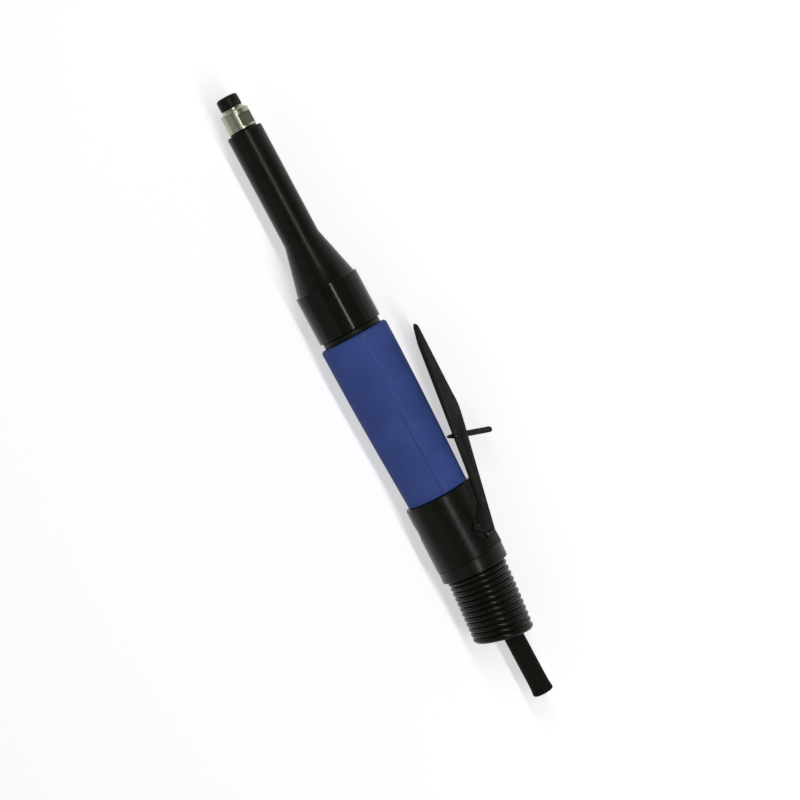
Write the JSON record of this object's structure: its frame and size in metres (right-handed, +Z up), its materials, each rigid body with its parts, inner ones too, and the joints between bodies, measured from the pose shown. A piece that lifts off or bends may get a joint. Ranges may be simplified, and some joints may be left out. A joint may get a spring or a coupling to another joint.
{
  "type": "pneumatic straight grinder",
  "caption": "Long-nose air-driven straight grinder with a collet, a padded grip, a throttle lever with a lock-off catch, an air hose and a ribbed exhaust hose.",
  "frame": {"origin": "under the middle of the tool without its air hose, on the surface that the tool lies on", "axes": "+X runs along the tool from its collet to its hoses, +Y points out through the throttle lever, +Z is up"},
  "size_m": [0.4055, 0.0698, 0.0448],
  "materials": {
    "black_rubber": "semi-gloss moulded rubber",
    "blue_rubber": "matt textured rubber grip",
    "black_housing": "matt black coated metal",
    "black_steel": "black oxide steel, satin",
    "ground_steel": "ground and turned steel",
    "spring_steel": "drawn spring steel",
    "bearing_steel": "polished bearing steel",
    "aluminium": "turned aluminium",
    "brass": "turned brass",
    "seal_rubber": "matt nitrile rubber",
    "vane_fibre": "laminated resin fibre",
    "hose_rubber": "matt hose rubber"
  },
  "bodies": {
    "housing": {"air_supply_hose": "hose_rubber", "cylinder_liner": "ground_steel", "exhaust_adapter": "aluminium", "exhaust_collar": "black_rubber", "exhaust_hose": "hose_rubber", "extension_housing": "black_steel", "front_bearing_nut": "black_steel", "front_bearing_outer_ring": "bearing_steel", "front_end_plate": "ground_steel", "grip_sleeve": "blue_rubber", "hose_ferrule": "spring_steel", "housing_seal": "seal_rubber", "inlet_nipple": "brass", "inlet_strainer": "brass", "lever_pivot_pin": "black_steel", "motor_clamp_ring": "black_steel", "motor_front_bearing_outer_ring": "bearing_steel", "motor_housing": "black_steel", "motor_rear_bearing_outer_ring": "bearing_steel", "nose_sleeve": "black_rubber", "rear_end_plate": "ground_steel", "rear_spindle_bearing_outer_ring": "bearing_steel", "valve_bushing": "brass", "valve_housing": "black_housing", "valve_plug": "black_steel", "valve_seat": "brass", "valve_spring": "spring_steel", "valve_stem_seal": "seal_rubber", "wave_washer": "spring_steel"},
    "spindle": {"spindle": "ground_steel", "drive_coupling": "black_steel", "rotor": "ground_steel", "bearing_spacer": "ground_steel", "spindle_circlip": "spring_steel", "front_bearing_inner_ring": "bearing_steel", "motor_front_bearing_inner_ring": "bearing_steel", "motor_rear_bearing_inner_ring": "bearing_steel", "rear_spindle_bearing_inner_ring": "bearing_steel", "rotor_vane_1": "vane_fibre", "rotor_vane_2": "vane_fibre", "rotor_vane_3": "vane_fibre", "rotor_vane_4": "vane_fibre", "rotor_vane_5": "vane_fibre"},
    "collet": {"collet": "spring_steel"},
    "collet_nut": {"collet_nut": "black_steel"},
    "throttle_lever": {"throttle_lever": "black_steel", "lock_off_pin": "ground_steel", "lock_off_spring": "spring_steel"},
    "lock_off_catch": {"lock_off_catch": "black_steel"},
    "valve_stem": {"valve_stem": "ground_steel"},
    "front_bearing_ball_cage": {"front_bearing_ball_cage": "brass"},
    "motor_front_bearing_ball_cage": {"motor_front_bearing_ball_cage": "brass"},
    "motor_rear_bearing_ball_cage": {"motor_rear_bearing_ball_cage": "brass"},
    "rear_spindle_bearing_ball_cage": {"rear_spindle_bearing_ball_cage": "brass"}
  },
  "joints": [
    {"name": "spindle_spin", "type": "hinge", "parent": "housing", "child": "spindle", "pos_m": [-0.11382, -0.01238, 0.0224], "axis": [1, 0, 0], "continuous": true},
    {"name": "collet_feed", "type": "slide", "parent": "spindle", "child": "collet", "axis": [-1, 0, 0], "range_m": [0, 0.002]},
    {"name": "collet_nut_turn", "type": "hinge", "parent": "collet", "child": "collet_nut", "pos_m": [-0.17702, -0.01238, 0.0224], "axis": [-1, 0, 0], "range_deg": [0, 720.2]},
    {"name": "lever_press", "type": "hinge", "parent": "housing", "child": "throttle_lever", "pos_m": [0.11313, -0.00118, 0.0224], "axis": [0, 0, 1], "range_deg": [0, 4.5], "stiffness_Nm_per_rad": 1, "springref_deg": -2.86, "deforming": ["valve_spring"]},
    {"name": "lock_off_turn", "type": "hinge", "parent": "throttle_lever", "child": "lock_off_catch", "pos_m": [0.05963, 0.01522, 0.0224], "axis": [0, 0, -1], "range_deg": [0, 63]},
    {"name": "valve_stroke", "type": "slide", "parent": "housing", "child": "valve_stem", "axis": [0, -1, 0], "range_m": [0, 0.0012]},
    {"name": "front_bearing_cage_spin", "type": "hinge", "parent": "housing", "child": "front_bearing_ball_cage", "pos_m": [-0.15337, -0.01238, 0.0224], "axis": [1, 0, 0], "continuous": true},
    {"name": "motor_front_bearing_cage_spin", "type": "hinge", "parent": "housing", "child": "motor_front_bearing_ball_cage", "pos_m": [-0.01627, -0.01238, 0.0224], "axis": [1, 0, 0], "continuous": true},
    {"name": "motor_rear_bearing_cage_spin", "type": "hinge", "parent": "housing", "child": "motor_rear_bearing_ball_cage", "pos_m": [0.06203, -0.01238, 0.0224], "axis": [1, 0, 0], "continuous": true},
    {"name": "rear_spindle_bearing_cage_spin", "type": "hinge", "parent": "housing", "child": "rear_spindle_bearing_ball_cage", "pos_m": [-0.07167, -0.01238, 0.0224], "axis": [1, 0, 0], "continuous": true}
  ],
  "couplings": [
    {"joint": "collet_nut_turn", "follows": "collet_feed", "rad_per_m": 6283.2},
    {"joint": "lock_off_turn", "follows": "lever_press", "ratio": 14},
    {"joint": "valve_stroke", "follows": "lever_press", "m_per_rad": 0.015},
    {"joint": "front_bearing_cage_spin", "follows": "spindle_spin", "ratio": 0.431},
    {"joint": "motor_front_bearing_cage_spin", "follows": "spindle_spin", "ratio": 0.428},
    {"joint": "motor_rear_bearing_cage_spin", "follows": "spindle_spin", "ratio": 0.428},
    {"joint": "rear_spindle_bearing_cage_spin", "follows": "spindle_spin", "ratio": 0.431}
  ]
}
